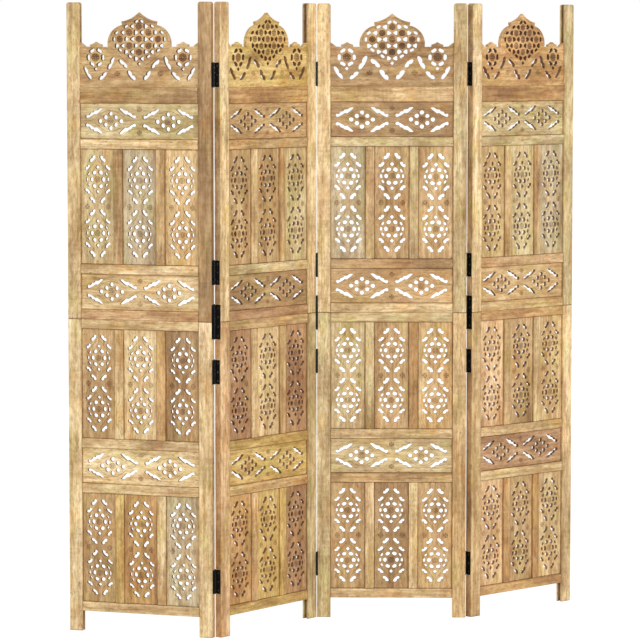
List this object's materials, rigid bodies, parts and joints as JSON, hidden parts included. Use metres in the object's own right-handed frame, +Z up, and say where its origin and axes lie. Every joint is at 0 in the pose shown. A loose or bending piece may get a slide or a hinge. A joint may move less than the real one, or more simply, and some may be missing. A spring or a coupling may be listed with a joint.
{
  "type": "room divider",
  "caption": "Free-standing folding screen of pierced and carved wooden panels in grooved frames, joined edge to edge by black butt hinges so that it stands in a zigzag or folds shut.",
  "frame": {"origin": "on the floor, under the middle of the box of the standing zigzag", "axes": "+X along the row to the right, -Y to the front, +Z up"},
  "size_m": [1.4354, 0.2602, 1.65],
  "materials": {
    "stile_wood": "clear-oiled pale hardwood, satin",
    "rail_wood": "clear-oiled pale hardwood, satin",
    "muntin_wood": "clear-oiled pale hardwood, satin",
    "slat_wood": "clear-oiled pale hardwood, satin",
    "frieze_wood": "clear-oiled pale hardwood, satin",
    "crown_wood": "clear-oiled pale hardwood, satin",
    "dowel_wood": "clear-oiled pale hardwood, satin",
    "hinge_lacquer": "black lacquer on steel, semi-gloss",
    "hinge_pin_lacquer": "black lacquer on steel, rubbed",
    "screw_black": "blackened steel, rubbed at the slot"
  },
  "bodies": {
    "panel_2": {"panel_2_left_stiles": "stile_wood", "panel_2_right_stiles": "stile_wood", "panel_2_dowels": "dowel_wood", "panel_2_lower_rails": "rail_wood", "panel_2_upper_rails": "rail_wood", "panel_2_muntins": "muntin_wood", "panel_2_lower_slats": "slat_wood", "panel_2_middle_slats": "slat_wood", "panel_2_upper_slats": "slat_wood", "panel_2_friezes": "frieze_wood", "panel_2_crown_board": "crown_wood", "hinge_1_2_right_leaves": "hinge_lacquer", "hinge_1_2_right_screws": "screw_black", "hinge_2_3_left_leaves": "hinge_lacquer", "hinge_2_3_pins": "hinge_pin_lacquer", "hinge_2_3_left_screws": "screw_black"},
    "panel_1": {"panel_1_left_stiles": "stile_wood", "panel_1_right_stiles": "stile_wood", "panel_1_dowels": "dowel_wood", "panel_1_lower_rails": "rail_wood", "panel_1_upper_rails": "rail_wood", "panel_1_muntins": "muntin_wood", "panel_1_lower_slats": "slat_wood", "panel_1_middle_slats": "slat_wood", "panel_1_upper_slats": "slat_wood", "panel_1_friezes": "frieze_wood", "panel_1_crown_board": "crown_wood", "hinge_1_2_left_leaves": "hinge_lacquer", "hinge_1_2_pins": "hinge_pin_lacquer", "hinge_1_2_left_screws": "screw_black"},
    "panel_3": {"panel_3_left_stiles": "stile_wood", "panel_3_right_stiles": "stile_wood", "panel_3_dowels": "dowel_wood", "panel_3_lower_rails": "rail_wood", "panel_3_upper_rails": "rail_wood", "panel_3_muntins": "muntin_wood", "panel_3_lower_slats": "slat_wood", "panel_3_middle_slats": "slat_wood", "panel_3_upper_slats": "slat_wood", "panel_3_friezes": "frieze_wood", "panel_3_crown_board": "crown_wood", "hinge_2_3_right_leaves": "hinge_lacquer", "hinge_2_3_right_screws": "screw_black", "hinge_3_4_left_leaves": "hinge_lacquer", "hinge_3_4_pins": "hinge_pin_lacquer", "hinge_3_4_left_screws": "screw_black"},
    "panel_4": {"panel_4_left_stiles": "stile_wood", "panel_4_right_stiles": "stile_wood", "panel_4_dowels": "dowel_wood", "panel_4_lower_rails": "rail_wood", "panel_4_upper_rails": "rail_wood", "panel_4_muntins": "muntin_wood", "panel_4_lower_slats": "slat_wood", "panel_4_middle_slats": "slat_wood", "panel_4_upper_slats": "slat_wood", "panel_4_friezes": "frieze_wood", "panel_4_crown_board": "crown_wood", "hinge_3_4_right_leaves": "hinge_lacquer", "hinge_3_4_right_screws": "screw_black"}
  },
  "joints": [
    {"name": "fold_1_2", "type": "hinge", "parent": "panel_2", "child": "panel_1", "pos_m": [-0.38763, -0.1136, 0.825], "axis": [0, 0, -1], "range_deg": [-70, 110]},
    {"name": "fold_2_3", "type": "hinge", "parent": "panel_2", "child": "panel_3", "pos_m": [-0.03814, 0.08456, 0.825], "axis": [0, 0, -1], "range_deg": [-53, 127]},
    {"name": "fold_3_4", "type": "hinge", "parent": "panel_3", "child": "panel_4", "pos_m": [0.34524, -0.03556, 0.825], "axis": [0, 0, 1], "range_deg": [-45, 135]}
  ]
}
